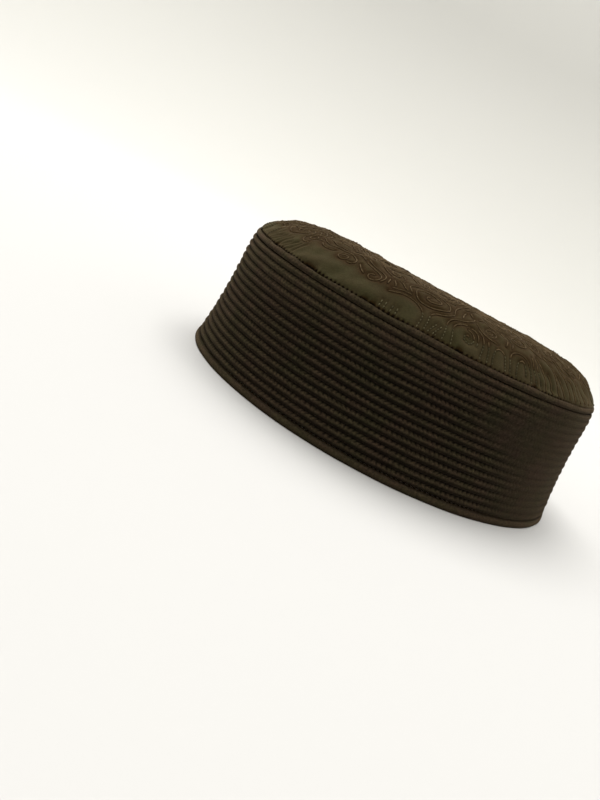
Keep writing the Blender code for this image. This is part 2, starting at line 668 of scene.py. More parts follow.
@dataclass(frozen=True)
class PalePaper:
    """The matt, pale studio floor, darkened far behind by painted shade."""

    name: str = "studio_paper"
    main: Colour = (0.571, 0.567, 0.560, 1.0)
    light: Colour = (0.584, 0.581, 0.577, 1.0)
    far: Colour = (0.526, 0.523, 0.500, 1.0)
    patches: Noise = (0.4, 2.0, 0.55)
    roughness: float = 0.85
    shine: float = 0.2

    def make(self) -> Material:
        """Build the material.

        Returns:
            The material.
        """
        wiring = Wiring(self.name)
        near = wiring.blend(wiring.noise(*self.patches), self.main, self.light)
        # Painted shade: away from the middle the paper turns to its darker far colour.
        colour = wiring.blend(wiring.height(), self.far, near)
        looks = {"Base Color": colour, "Roughness": self.roughness, "Specular IOR Level": self.shine}
        return wiring.finished(looks)


def dress(piece: Piece, finish: Material, slot: Slot, *nodes: str) -> Piece:
    """Give a piece its finish and its place in the frame.

    Args:
        piece: The piece.
        finish: Its material.
        slot: The record's slot that the finish stands for; not used.
        *nodes: The CAD nodes that it replaces.

    Returns:
        The piece.
    """
    mesh = piece.data
    mesh.materials.append(finish)
    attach(piece, BODY)
    if nodes:
        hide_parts(*nodes)
    mesh.calc_loop_triangles()
    log.info("%s: %d points, %d triangles", piece.name, len(mesh.vertices), len(mesh.loop_triangles))
    return piece


@dataclass
class SideBand:
    """The side wall: padded ribs between stitch lines, and the stitches themselves.

    Rows count the ribs from the band's lower edge up, and places count the stitches round the cap.
    The inside is given as shares of the band's height and of the wall's thickness, downwards. Each
    tone of the painted light comes with what it gains near the crown.
    """

    outline: CapOutline
    ribs: int = 16
    rib_pitch: float = 0.00327
    rib_rows: Shares = (0.0, 0.12, 0.28, 0.42, 0.56, 0.70, 0.85)
    inside: Marks = (
        (1.0, 0.45), (1.0, 0.8), (0.995, 1.0), (0.95, 1.0), (0.8, 1.0), (0.5, 1.0), (0.2, 1.0), (0.05, 1.0),
        (0.005, 1.0), (0.0, 0.8), (0.0, 0.45),
    )
    back_pitch: float = 0.003
    stitches: int = 264
    stitch_columns: int = 3
    stitch_shares: Shares = (0.04, 0.24, 0.5, 0.76, 0.96)
    stitch_sinks: Shares = (-1.0, 0.35, 1.0, 0.35, -1.0)
    groove: float = 0.00105
    hole: float = 0.00055
    roundness: float = 0.85
    line_shift: float = 0.55
    line_wander: Waves = Waves(0.00014, 0.55, 32, 0.11)
    stitch_wander: Waves = Waves(0.35, 0.30, 33, 0.35)
    plumpness: Waves = Waves(0.00014, 0.22, 34, 0.30)
    tightness: Waves = Waves(0.25, 0.05, 35, 0.2)
    mean_tightness: float = 0.85
    tooth: float = 0.00038
    tooth_pull: Pair = (0.2, 0.9)
    lit_face: Pair = (0.31, 0.68)
    lit_early: float = 0.17
    shaded_line: Pair = (0.62, 0.82)
    shaded_tooth: Pair = (0.84, 1.14)
    tones: tuple[Pair, Pair] = ((0.06, 0.18), (0.86, 0.14))
    pale_rows: Pair = (10.5, 15.0)
    soft_end: tuple[float, float, float, float] = (279.0, 300.0, 308.0, 344.0)
    softness: float = 0.92
    soft_row: float = 10.8
    soft_rows: float = 3.0
    soft_lead: float = 15.0
    flattening: float = 0.8
    even_light_tone: Pair = (0.42, 0.9)
    stitch_bow: float = 0.9
    stitch_depth: float = 0.2
    rubbed_depth: float = 4.0
    thread: Thread = Thread(radius=0.00017)
    seed: int = 31

    @property
    def top(self) -> float:
        """The height of the band's upper edge."""
        return self.outline.hem_height + self.ribs * self.rib_pitch

    @property
    def turn(self) -> float:
        """The angle of one stitch."""
        return tau / self.stitches

    def even_angle(self, place: Array, row: Array) -> Array:
        """Find the angle of each place, with the stitches of every line shifted against the last."""
        shifts = np.random.default_rng(self.seed).uniform(-self.line_shift, self.line_shift, self.ribs + 1)
        return (place + np.interp(row, np.arange(self.ribs + 1), np.cumsum(shifts))) * self.turn

    def angle(self, place: Array, row: Array) -> Array:
        """Find the angle of each place, with stitches that vary in length."""
        angle = self.even_angle(place, row)
        return angle + self.stitch_wander.round_cap(angle, row) * self.turn

    def drift(self, angle: Array, row: Array) -> Array:
        """Find how far the stitch lines wander upwards, as a hand guides them."""
        free = np.clip(row, 0.0, 1.0) * np.clip(self.ribs - row, 0.0, 1.0)
        return self.line_wander.round_cap(angle, row) * free

    def level(self, row: Array, drift: Array | float = 0.0) -> Array:
        """Find the stations of some rows, which keep half a gap off the pieces below and above."""
        base, half_gap = self.outline.hem_height, self.outline.gap / 2
        return np.clip(base + row * self.rib_pitch + drift, base + half_gap, self.top - half_gap)

    def lift(self, angle: Array, row: Array, pull: Array) -> Array:
        """Shape the ribs.

        Args:
            angle: Angles round the cap.
            row: How far up the band.
            pull: 1 at a needle hole and 0 midway between two.

        Returns:
            How far the cloth stands proud of the skin.
        """
        share = row - np.floor(row)
        swell = np.sin(pi * share) ** self.roundness
        plump = self.plumpness.round_cap(angle, row) * swell
        pucker = self.tooth * (pull - 0.5) * (1.0 - 0.6 * swell) * (0.5 + share)
        return plump - pucker - self.groove * (1.0 - swell) - self.hole * pull * (1.0 - swell) ** 1.5

    def rib_light(self, row: Array, pull: Array) -> Array:
        """Find the ribs' painted light: most just over their middles and near the crown.

        Args:
            row: How far up the band.
            pull: 1 at a needle hole and 0 midway between two.

        Returns:
            The painted light, between 0 and 1.
        """
        share = row - np.floor(row)
        # Painted light on each rib's upper face, painted shade below it; the top rows near the crown get
        # more, partly painted light and partly the cloth's fading.
        near_top = smooth_step(*self.pale_rows, row)
        start, full = self.lit_face
        upper = smooth_step(start - self.lit_early * near_top, full, share)
        # Painted shade along the groove above each rib, reaching further down at the needle holes.
        tooth = 1.0 - smooth_step(*self.tooth_pull, pull)
        held = smooth_step(*self.shaded_line, share) * (1.0 - tooth)
        held = held + smooth_step(*self.shaded_tooth, share) * tooth
        low, high = (tone + more * near_top for tone, more in self.tones)
        return low + (high - low) * upper * (1.0 - held)

    def softened(self, angle: Array, row: Array) -> Array:
        """Find how far the ribs are flattened and their painted light evened out, most at the cap's right
        end.

        Args:
            angle: Angles round the cap.
            row: How far up the band.

        Returns:
            The softening, 0 where the ribs are crisp.
        """
        start, full, wane, end = self.soft_end
        turn = np.degrees(angle) % 360.0
        lead = self.soft_lead * bell(row - self.soft_row, self.soft_rows)
        return self.softness * smooth_step(start, full, turn + lead) * (1.0 - smooth_step(wane, end, turn))

    def build_cloth(self) -> Piece:
        """Make the band's cloth, up the outside and down the inside.

        Returns:
            The new object.
        """
        rows = np.array([rib + share for rib in range(self.ribs) for share in self.rib_rows] + [self.ribs])
        row = rows[:, None]
        place = np.arange(self.stitches * self.stitch_columns) / self.stitch_columns
        angle = self.angle(place, row)
        tightness = self.mean_tightness + self.tightness.round_cap(angle, row)
        pull = np.clip(0.5 + 0.5 * np.cos(tau * place) * tightness, 0.0, 1.0)
        soft = self.softened(angle, row)
        lift = self.lift(angle, row, pull) * (1.0 - self.flattening * soft)
        outer = self.outline.lifted(angle, self.level(row, self.drift(angle, row)), lift)
        # Painted light: where the ribs are softened, their painted light and shade are evened out to one
        # tone, for light that fills the grooves at the cap's right end.
        tone, share = self.even_light_tone
        light_share = self.rib_light(row, pull)
        light_share = light_share + share * soft * (tone - light_share)
        height, depth = np.array(self.inside).T[..., None]
        row = self.ribs * height
        angle = self.even_angle(place, row)
        inner = self.outline.lifted(angle, self.level(row), -self.outline.wall * depth)
        inside = (self.ribs + 1 + np.arange(len(height) + 1)) * self.back_pitch
        along = np.append(rows * self.rib_pitch, inside)
        made = ClothMesh("side_band_cloth")
        light_share = np.concatenate([light_share, np.full(inner.shape[:2], LINING_LIGHT_SHARE)])
        made.add_loop(np.concatenate([outer, inner]), light_share, self.outline.girth, along)
        return made.build()

    def build_stitches(self) -> Piece:
        """Sew the lines between the ribs.

        Returns:
            The new object.
        """
        row = np.arange(self.ribs + 1.0)[:, None, None]
        place = np.arange(self.stitches)[:, None] + np.array(self.stitch_shares)
        angle = self.angle(place, row)
        station = self.level(row, self.drift(angle, row))
        pull = 0.5 + 0.5 * np.cos(tau * place)
        soft = self.softened(angle, row)
        lift = -(self.groove + self.hole * pull) * (1.0 - self.flattening * soft)
        bow = self.stitch_bow * np.array(self.stitch_sinks)
        lift = lift + self.thread.radius * (bow - self.stitch_depth - self.rubbed_depth * soft)
        points = self.outline.lifted(angle, station, lift)
        normals = self.outline.outward(angle, station)
        each = (-1, *points.shape[-2:])
        return self.thread.sew("side_band_stitches", points.reshape(each), normals.reshape(each))


@dataclass
class PlainStrip:
    """A closed, lightly uneven strip of cloth round the cap, such as the hem or the seam's fold."""

    name: str
    outline: CapOutline
    bottom: float
    top: float
    columns: int
    outer_rows: int
    bulge: float
    pucker: float
    ripple: Waves
    shifts: Waves
    variety: Waves
    top_wander: Waves = Waves(0.0, 1.0, 0)
    shade: float = 1.0
    pucker_count: int = 264
    mean_gather: float = 0.6
    corner: float = 0.0007
    crest: Pair = (0.05, 0.62)
    edge: Pair = (0.75, 1.0)
    edge_loss: float = 0.8
    tones: Shares = (0.30, 0.62, 0.12)
    back_tone: float = 0.4

    def section(self) -> tuple[Array, Array]:
        """Lay out the closed section, up the outside and down the inside.

        Returns:
            The station and the depth under the skin of each row.
        """
        turn = np.linspace(0.0, pi / 2, 4)
        inwards = self.corner * (1.0 - np.cos(turn))
        upwards = self.corner * (1.0 - np.sin(turn))
        bottom, top, wall = self.bottom, self.top, self.outline.wall
        face = np.linspace(bottom + self.corner, top - self.corner, self.outer_rows)[1:-1]
        back = np.linspace(top - self.corner, bottom + self.corner, 4)[1:-1]
        outer = [bottom + upwards[::-1], face, top - upwards]
        inner = [top - upwards[::-1], back, bottom + upwards]
        outer_depths = [inwards[::-1], 0.0 * face, inwards]
        inner_depths = [wall - inwards[::-1], wall + 0.0 * back, wall - inwards]
        return np.concatenate(outer + inner), np.concatenate(outer_depths + inner_depths)

    def build(self) -> Piece:
        """Make the strip.

        Returns:
            The new object.
        """
        section = self.section()
        station, depth = (values[:, None] for values in section)
        angle = np.arange(self.columns) / self.columns * tau
        share = (station - self.bottom) / (self.top - self.bottom)
        weight = np.clip(1.0 - depth / self.outline.wall, 0.0, 1.0) ** 0.5
        gather = np.cos(self.pucker_count * angle + self.shifts.round_cap(angle, share))
        gather = gather * (self.mean_gather + self.variety.round_cap(angle, share))
        lift = self.bulge * np.sin(pi * np.clip(share, 0.0, 1.0))
        lift = lift + self.pucker * gather * share**0.5 + self.ripple.round_cap(angle, share)
        station = station + self.top_wander.round_cap(angle, share) * share**2
        # Painted light: the strip's face is lighter, its lower and upper edges darker in painted shade, and
        # raised gathers lighter than the dips between them.
        crest = smooth_step(*self.crest, share) * (1.0 - self.edge_loss * smooth_step(*self.edge, share))
        low, full, gathered = self.tones
        light_share = self.shade * (low + full * crest + gathered * gather * share)
        light_share = np.clip(light_share * weight + self.back_tone * (1.0 - weight), 0.0, 1.0)
        points = self.outline.lifted(angle, station, lift * weight - depth)
        points[..., 2] = np.maximum(points[..., 2], 0.0)
        made = ClothMesh(self.name)
        made.add_loop(points, light_share, self.outline.girth, walk(closed(np.column_stack(section), 0)))
        return made.build()


@dataclass
class LineBook:
    """Keeps the quilting lines laid so far, and trims each new one where it would crowd them."""

    cell_size: float = 0.0021
    step: float = 0.00022
    lines: list[Array] = field(default_factory=list)
    cells: dict[tuple[int, int], list[Pair]] = field(default_factory=dict)

    def cell(self, x: float, y: float) -> tuple[int, int]:
        """Name the cell that holds a point."""
        return int(x // self.cell_size), int(y // self.cell_size)

    def crowded(self, x: float, y: float, clearance: float) -> bool:
        """Say if an older line runs too near.

        Args:
            x: The point's flat x.
            y: The point's flat y.
            clearance: How near is too near, at most one cell.

        Returns:
            True where the point is nearer to an older line than the clearance.
        """
        column, row = self.cell(x, y)
        for i in (column - 1, column, column + 1):
            for j in (row - 1, row, row + 1):
                if any(hypot(x - a, y - b) < clearance for a, b in self.cells.get((i, j), ())):
                    return True
        return False

    def even(self, path: Array) -> Array:
        """Find points a step apart along a flat path."""
        ways = walk(path)
        return points_along(path, ways, np.linspace(0.0, ways[-1], max(2, int(ways[-1] / self.step) + 1)))

    def lay(self, path: Array, allowed: Ground, clearance: float, shortest: float) -> None:
        """Lay a line, without the stretches that would crowd older lines.

        Args:
            path: The line's flat points.
            allowed: Says for flat points where a line may run.
            clearance: How near it may come to an older line.
            shortest: The shortest stretch worth sewing.
        """
        points = self.even(path)
        runs: list[list[Pair]] = [[]]
        for (x, y), free in zip(points.tolist(), allowed(points).tolist()):
            if free and not self.crowded(x, y, clearance):
                runs[-1].append((x, y))
            elif runs[-1]:
                runs.append([])
        for run in runs:
            if len(run) * self.step < shortest:
                continue
            for x, y in run:
                self.cells.setdefault(self.cell(x, y), []).append((x, y))
            self.lines.append(np.array(run))


@dataclass(frozen=True)
class Scroll:
    """One wound scroll of the quilting."""

    x: float
    y: float
    radius: float

    @property
    def centre(self) -> Array:
        """The scroll's middle, flat."""
        return np.array([self.x, self.y])


@dataclass(frozen=True)
class Lobe:
    """A plain, puffed arch on the seam."""

    middle: float
    half_width: float
    tall: float


@dataclass(frozen=True)
class FrontDrawing:
    """The free-hand lines of the crown's front.

    Each line is a few marks that a smooth curve runs through: the angle round the cap in degrees, and
    the way in from the seam in millimetres. Scrolls have their middle's two numbers and a radius.
    """

    large_scroll: Marks = (
        (246.9, 18.3), (245.9, 17.3), (246.4, 15.8), (248.2, 15.1), (250.0, 15.8), (250.6, 17.6),
        (249.6, 19.8), (247.4, 21.2), (244.6, 20.9), (242.7, 19.4), (242.3, 17.4), (242.9, 15.4),
        (244.3, 13.6), (246.4, 12.6), (249.0, 12.4), (251.4, 13.4), (253.1, 15.2), (253.7, 17.4),
        (253.0, 20.2), (250.6, 22.8), (247.0, 24.2), (243.0, 23.8), (240.5, 21.6), (239.8, 19.2),
        (240.5, 16.8), (241.6, 15.0),
    )
    beside_scroll: Marks = (
        (257.6, 26.5), (255.9, 22.4), (255.3, 19.2), (255.5, 16.8), (254.9, 14.6), (253.6, 12.5),
        (251.8, 11.1), (250.2, 10.0), (249.3, 8.0), (249.4, 4.8), (249.3, 1.2),
    )
    round_lobe: Marks = (
        (236.2, 9.0), (238.0, 10.1), (239.6, 11.0), (241.2, 11.6), (243.2, 11.6), (245.0, 10.7),
        (246.5, 9.0), (247.4, 6.8), (247.6, 4.4), (247.5, 0.6),
    )
    over_round_lobe: Marks = ((236.4, 11.4), (238.2, 12.5), (240.0, 13.3), (242.0, 13.7))
    leaf: Marks = (
        (254.3, 1.0), (254.3, 4.7), (254.1, 8.0), (254.4, 10.6), (255.6, 12.8), (257.4, 14.4),
        (259.6, 15.8), (261.3, 17.6), (262.2, 20.5),
    )
    inner_leaf: Marks = (
        (256.9, 0.8), (256.5, 4.0), (256.0, 7.4), (256.4, 10.2), (257.8, 12.2), (259.8, 13.6),
    )
    small_curl: Marks = (
        (261.2, 7.6), (260.4, 8.4), (259.6, 7.4), (259.8, 5.8), (261.2, 5.2), (262.3, 6.6),
        (262.4, 8.8), (261.6, 10.6), (260.0, 11.4),
    )
    over_small_curl: Marks = ((261.0, 13.2), (262.6, 12.4), (263.5, 10.6), (263.8, 8.4), (263.5, 5.6))
    long_tail: Marks = (
        (260.6, 24.0), (261.9, 20.8), (263.0, 17.4), (264.3, 14.6), (265.8, 12.6), (267.6, 11.5),
        (269.8, 11.2),
    )
    first_drop: Marks = ((263.2, 14.2), (264.6, 12.0), (265.3, 9.4), (265.4, 6.4), (265.1, 0.8))
    second_drop: Marks = ((266.6, 10.2), (266.9, 7.6), (267.2, 4.2), (267.2, 0.8))
    narrow_lobe: Marks = (
        (268.8, 1.0), (268.7, 5.4), (269.2, 8.2), (270.6, 9.4), (272.0, 8.4), (272.7, 5.6), (273.0, 1.0),
    )
    right_lobe: Marks = (
        (274.6, 0.8), (274.4, 4.6), (274.2, 8.0), (274.8, 10.6), (276.4, 11.8), (278.6, 11.2),
        (280.4, 9.2), (281.6, 5.6), (282.0, 1.0),
    )
    in_right_lobe: Marks = (
        (276.6, 0.8), (276.5, 5.0), (277.0, 8.0), (278.3, 8.8), (279.4, 6.8), (279.8, 3.0),
    )
    third_drop: Marks = ((281.8, 12.8), (282.6, 9.4), (283.4, 5.8), (284.3, 1.0))
    fourth_drop: Marks = ((283.6, 13.2), (284.4, 9.4), (285.3, 5.6), (286.3, 1.0))
    left_frond: Marks = ((272.6, 22.0), (273.3, 19.0), (273.5, 16.0), (272.9, 13.0))
    right_frond: Marks = ((274.6, 21.4), (275.4, 18.4), (275.6, 15.6), (275.0, 13.2))
    hooked_curl: Marks = (
        (224.2, 18.4), (226.8, 16.9), (229.0, 15.6), (230.8, 14.9), (232.1, 13.2), (232.2, 11.2),
        (231.2, 9.9), (229.6, 9.9), (228.6, 11.2), (228.9, 12.8), (230.2, 13.0),
    )
    short_stem: Marks = ((234.3, 15.2), (234.7, 12.0))
    bent_stem: Marks = ((235.2, 16.2), (236.5, 14.4), (237.0, 12.6))
    over_hook: Marks = (
        (223.4, 20.8), (226.0, 19.2), (228.5, 17.8), (231.0, 16.8), (232.9, 14.8), (233.3, 12.4),
        (232.8, 10.6),
    )
    side_flow: Marks = ((233.4, 18.2), (235.6, 18.6), (237.8, 17.6), (239.2, 15.6), (240.4, 14.6))
    far_flow: Marks = ((227.6, 24.0), (229.8, 21.8), (232.4, 20.0), (235.2, 19.8), (237.6, 20.8))
    left_flow: Marks = (
        (203.5, 18.8), (207.0, 17.2), (211.0, 17.0), (214.5, 18.2), (218.0, 18.4), (220.9, 16.8),
        (222.2, 14.4), (221.6, 12.4), (220.2, 12.0),
    )
    far_left_flow: Marks = (
        (204.5, 22.0), (208.5, 20.2), (213.0, 19.9), (217.0, 21.2), (220.5, 21.2), (223.0, 19.4),
    )
    low_left_flow: Marks = ((207.0, 14.8), (209.2, 13.2), (211.8, 13.2), (213.4, 14.8))
    scrolls: tuple[tuple[float, float, float], ...] = (
        (267.4, 16.6, 4.6), (218.0, 13.8, 4.0), (289.0, 24.0, 4.8), (203.0, 14.6, 5.6),
        (308.0, 27.0, 5.4), (233.4, 23.6, 5.4), (225.6, 17.6, 4.2), (211.0, 17.8, 4.6),
        (278.6, 20.4, 4.8), (298.6, 28.0, 4.6), (219.6, 25.0, 5.6),
    )

    def lines(self) -> list[Marks]:
        """Gather every free-hand line, in the order above."""
        named = [getattr(self, item.name) for item in fields(self)]
        return [marks for marks in named if marks is not self.scrolls]


@dataclass
class ScrollQuilting:
    """The crown's quilting, drawn flat: the front as listed, and the rest as lobes, scrolls and echoes."""

    reach: float
    front: FrontDrawing = FrontDrawing()
    seed: int = 7
    line_gap: float = 0.0024
    eye: float = 0.0011
    growth: float = 2.35
    points_a_turn: int = 48
    link_pull: float = 0.9
    link_points: int = 40
    link_ends: int = 50
    scroll_radius: float = 0.0074
    scroll_pitch: float = 0.0255
    scroll_sizes: Pair = (0.82, 1.08)
    scroll_turns: Pair = (-0.07, 0.07)
    scroll_shifts: Pair = (-0.0012, 0.0012)
    ring_pitch: float = 0.0205
    first_ring: float = 0.0170
    last_ring: float = 0.004
    lobe_pitch: float = 0.0150
    lobe_height: float = 0.0112
    lobe_widths: Pair = (0.80, 1.25)
    lobe_halves: Pair = (0.36, 0.40)
    lobe_heights: Pair = (0.80, 1.08)
    lobe_power: float = 2.3
    lobe_points: int = 60
    circle_points: int = 90
    front_lobes: Pair = (radians(207.0), radians(286.5))
    front_scrolls: Pair = (radians(195.0), radians(318.5))
    plain_cloth: Pair = (radians(207.0), radians(236.5))
    plain_depth: float = 0.0104
    pleats: Pair = (radians(189.0), radians(206.0))
    pleat_pitch: float = radians(1.9)
    pleat_depth: float = 0.0090
    pleat_lengths: Pair = (5.0, 8.5)
    tick_angles: Shares = (236.8, 238.1, 240.0, 241.4)
    slant_angles: Shares = (250.9, 252.3, 253.0)
    combed_cloth: Pair = (radians(286.5), radians(321.0))
    comb_bend: Marks = ((0.02, 0.35), (0.08, 0.7), (0.21, 1.0))
    combed_strokes: Marks = (
        (288.2, 15.0), (291.0, 9.0), (293.8, 18.5), (296.4, 12.0), (299.4, 19.0), (302.6, 11.0),
        (306.2, 18.0), (310.0, 11.5), (314.2, 17.0), (318.6, 12.0),
    )
    clearance: float = 0.0019
    touching: float = 0.0010
    shortest: float = 0.0055
    seam_clearance: float = 0.0004
    echo_lines: int = 3
    echo_rings: int = 6
    left_handed: float = 0.5
    turned: float = 0.35
    book: LineBook = field(default_factory=LineBook)

    def __post_init__(self) -> None:
        """Draw every line."""
        self.chance = np.random.default_rng(self.seed)
        self.lobes = self.place_lobes()
        self.seen = [Scroll(*self.flat(a, i).tolist(), r * 0.001) for a, i, r in self.front.scrolls]
        self.rings = self.place_scrolls()
        self.draw_marks(self.front.lines())
        self.draw_lobes()
        self.draw_marks(self.short_lines())
        self.draw_scrolls()

    def flat(self, angle: Array, inset: Array) -> Array:
        """Turn angles in degrees and ways in from the seam in millimetres into flat points."""
        return from_polar(self.reach - 0.001 * np.asarray(inset), np.radians(angle))

    def smooth(self, marks: Marks) -> Array:
        """Draw a smooth curve through a few marks.

        Args:
            marks: The marks, each an angle in degrees and a way in from the seam in millimetres.

        Returns:
            The curve's flat points.
        """
        knots = self.flat(*np.array(marks).T)
        knots = np.concatenate([2 * knots[:1] - knots[1:2], knots, 2 * knots[-1:] - knots[-2:-1]])
        s = np.linspace(0.0, 1.0, 12, endpoint=False)[:, None]
        parts = []
        for a, b, c, d in zip(knots, knots[1:], knots[2:], knots[3:]):
            bend = 2 * a - 5 * b + 4 * c - d + s * (3 * (b - c) + d - a)
            parts.append(b + 0.5 * s * (c - a + s * bend))
        return np.concatenate([*parts, knots[-2:-1]])

    def place_lobes(self) -> list[Lobe]:
        """Set lobes of uneven width out along the seam, off the front, the pleats and the combed cloth.

        Returns:
            The lobes.
        """
        low, high = self.front_lobes
        width = tau - (high - low)
        widths = self.chance.uniform(*self.lobe_widths, round(width * self.reach / self.lobe_pitch))
        start = high
        lobes = []
        for share in (widths / widths.sum() * width).tolist():
            middle = start + share / 2
            half = share * self.chance.uniform(*self.lobe_halves)
            tall = self.lobe_height * self.chance.uniform(*self.lobe_heights)
            taken = (self.pleats, self.combed_cloth)
            if not any(first - half < middle % tau < last + half for first, last in taken):
                lobes.append(Lobe(middle, half, tall))
            start += share
        return lobes

    def place_scrolls(self) -> list[list[Scroll]]:
        """Set scrolls out on rings, from the lobes inwards, the outermost ring off the front.

        Returns:
            The scrolls of each ring.
        """
        rings = []
        distance = self.reach - self.first_ring
        low, high = self.front_scrolls
        while distance > self.last_ring:
            count = max(3, round(tau * distance / self.scroll_pitch))
            start = self.chance.uniform(0.0, tau)
            scrolls = []
            for number in range(count):
                angle = start + (number + self.chance.uniform(*self.scroll_turns)) * tau / count
                far = distance + self.chance.uniform(*self.scroll_shifts)
                size = self.scroll_radius * self.chance.uniform(*self.scroll_sizes)
                if rings or not low < angle % tau < high:
                    scrolls.append(Scroll(far * cos(angle), far * sin(angle), size))
            rings.append(scrolls)
            distance -= self.ring_pitch
        return rings

    def on_crown(self, flat: Array) -> Array:
        """Say which flat points are on the crown, clear of its seam."""
        return far_out(flat) < self.reach - self.seam_clearance

    def open_ground(self, flat: Array) -> Array:
        """Say where scrolls may run: on the crown, outside every lobe and off the plain cloth.

        Args:
            flat: Flat points.

        Returns:
            True for each point that is free.
        """
        angle = heading(flat) % tau
        rise = self.reach - far_out(flat)
        free = self.on_crown(flat)
        power = self.lobe_power
        for lobe in self.lobes:
            across = ((angle - lobe.middle + pi) % tau - pi) / lobe.half_width
            free = free & ~(np.abs(across) ** power + (np.maximum(rise, 0.0) / lobe.tall) ** power < 1.0)
        wavy_depth = self.plain_depth * (1.0 + 0.1 * np.sin(50.0 * angle))
        for (low, high), depth in (
            (self.plain_cloth, wavy_depth),
            ((self.plain_cloth[1], self.combed_cloth[1]), 1.1 * wavy_depth),
            (self.pleats, self.pleat_depth),
        ):
            free = free & ~(within(angle, low, high) & (rise < depth))
        return free

    def draw_lobes(self) -> None:
        """Draw each lobe's double outline."""
        turn = np.linspace(0.0, pi, self.lobe_points)
        bow = 2.0 / self.lobe_power
        for grow in (0.0, self.line_gap * 0.9):
            for lobe in self.lobes:
                wide = lobe.half_width * self.reach + grow
                across = wide * np.sign(np.cos(turn)) * np.abs(np.cos(turn)) ** bow
                far = self.reach - (lobe.tall + grow) * np.sin(turn) ** bow
                path = from_polar(far, lobe.middle + across / self.reach)
                self.book.lay(path, self.on_crown, 0.8 * self.clearance, self.shortest)

    def draw_marks(self, lines: list[Marks]) -> None:
        """Draw lines that are given by their marks, which may touch each other."""
        for marks in lines:
            self.book.lay(self.smooth(marks), self.on_crown, self.touching, self.touching)

    def short_lines(self) -> list[Marks]:
        """Set out the short lines on the seam.

        Returns:
            The fan of pleats, the ticks, the slants and the combed strokes, as marks.
        """
        pleats = np.arange(*np.degrees(self.pleats), np.degrees(self.pleat_pitch))
        fan = [(a, self.chance.uniform(*self.pleat_lengths)) for a in pleats]
        lines = [((a, 0.8), (a + 0.5, 0.5 * tall), (a + 1.8, tall)) for a, tall in fan]
        lines += [((a, 0.8), (a - 0.1, 4.4)) for a in self.tick_angles]
        lines += [((a - 0.6, 1.0), (a, 3.2), (a + 0.9, 5.8)) for a in self.slant_angles]
        for a, tall in self.combed_strokes:
            lines.append(((a, 0.8), *((a - lean * tall, share * tall) for lean, share in self.comb_bend)))
        return lines

    def spiral(self, scroll: Scroll, end_angle: float, hand: Hand) -> Array:
        """Wind one scroll, from its eye outwards, each turn wider than the last by the same share.

        Args:
            scroll: The scroll.
            end_angle: Where on its outside the line leaves it.
            hand: Which way it is wound.

        Returns:
            The line's flat points.
        """
        turns = np.log(scroll.radius / self.eye) / np.log(self.growth)
        sweep = np.linspace(0.0, turns * tau, max(self.points_a_turn // 2, int(turns * self.points_a_turn)))
        far = self.eye * self.growth ** (sweep / tau)
        return scroll.centre + from_polar(far, end_angle + hand.value * (sweep - sweep[-1]))

    def pair(self, first: Scroll, second: Scroll, turned: bool) -> tuple[Array, Array, Array]:
        """Join two scrolls with one flowing line.

        Args:
            first: Where the line starts.
            second: Where it ends.
            turned: True for a C, whose line keeps to one side, and False for an S.

        Returns:
            The first scroll's line, the link, and the second's line inwards.
        """
        way = second.centre - first.centre
        bearing = atan2(way[1], way[0])
        end, hand = (pi / 2, Hand.LEFT) if turned else (-pi / 2, Hand.RIGHT)
        out = self.spiral(first, bearing + pi / 2, Hand.RIGHT)
        back = self.spiral(second, bearing + end, hand)[::-1]
        pull = self.link_pull * hypot(*way)
        leave = unit(out[-1] - out[-2]) * pull
        arrive = unit(back[1] - back[0]) * pull
        s = np.linspace(0.0, 1.0, self.link_points)[:, None]
        start_weight = 2 * s**3 - 3 * s**2 + 1
        link = start_weight * out[-1] + (1.0 - start_weight) * back[0]
        link = link + (s**3 - 2 * s**2 + s) * leave + (s**3 - s**2) * arrive
        return out, link, back

    @staticmethod
    def beside(path: Array, distance: float) -> Array:
        """Shift a flat path to its left by a distance."""
        along = unit(np.gradient(path, axis=0))
        return path + distance * np.column_stack([-along[:, 1], along[:, 0]])

    def draw_scrolls(self) -> None:
        """Draw the scrolls, most in pairs, then echo lines beside the links and round the scrolls."""
        def lay(path: Array, clearance: float = self.clearance) -> None:
            """Lay a line on the open ground."""
            self.book.lay(path, self.open_ground, clearance, self.shortest)

        for scroll in self.seen:
            hand = Hand.LEFT if self.chance.random() < self.left_handed else Hand.RIGHT
            lay(self.spiral(scroll, self.chance.uniform(0.0, tau), hand), 0.7 * self.clearance)
        links = []
        for scrolls in self.rings:
            for first, second in zip(scrolls[0::2], scrolls[1::2]):
                out, link, back = self.pair(first, second, self.chance.random() < self.turned)
                lay(np.concatenate([out, link[1:-1], back]))
                links.append(np.concatenate([out[-self.link_ends:], link[1:-1], back[:self.link_ends]]))
            if len(scrolls) % 2:
                lay(self.spiral(scrolls[-1], 0.0, Hand.LEFT))
        for number in range(1, self.echo_lines + 1):
            for link in links:
                for side in (1.0, -1.0):
                    lay(self.beside(link, side * number * self.line_gap))
        circle = from_polar(1.0, np.linspace(0.0, tau, self.circle_points))
        for number in range(1, self.echo_rings + 1):
            for scroll in [*self.seen, *sum(self.rings, [])]:
                lay(scroll.centre + (scroll.radius + number * self.line_gap) * circle)


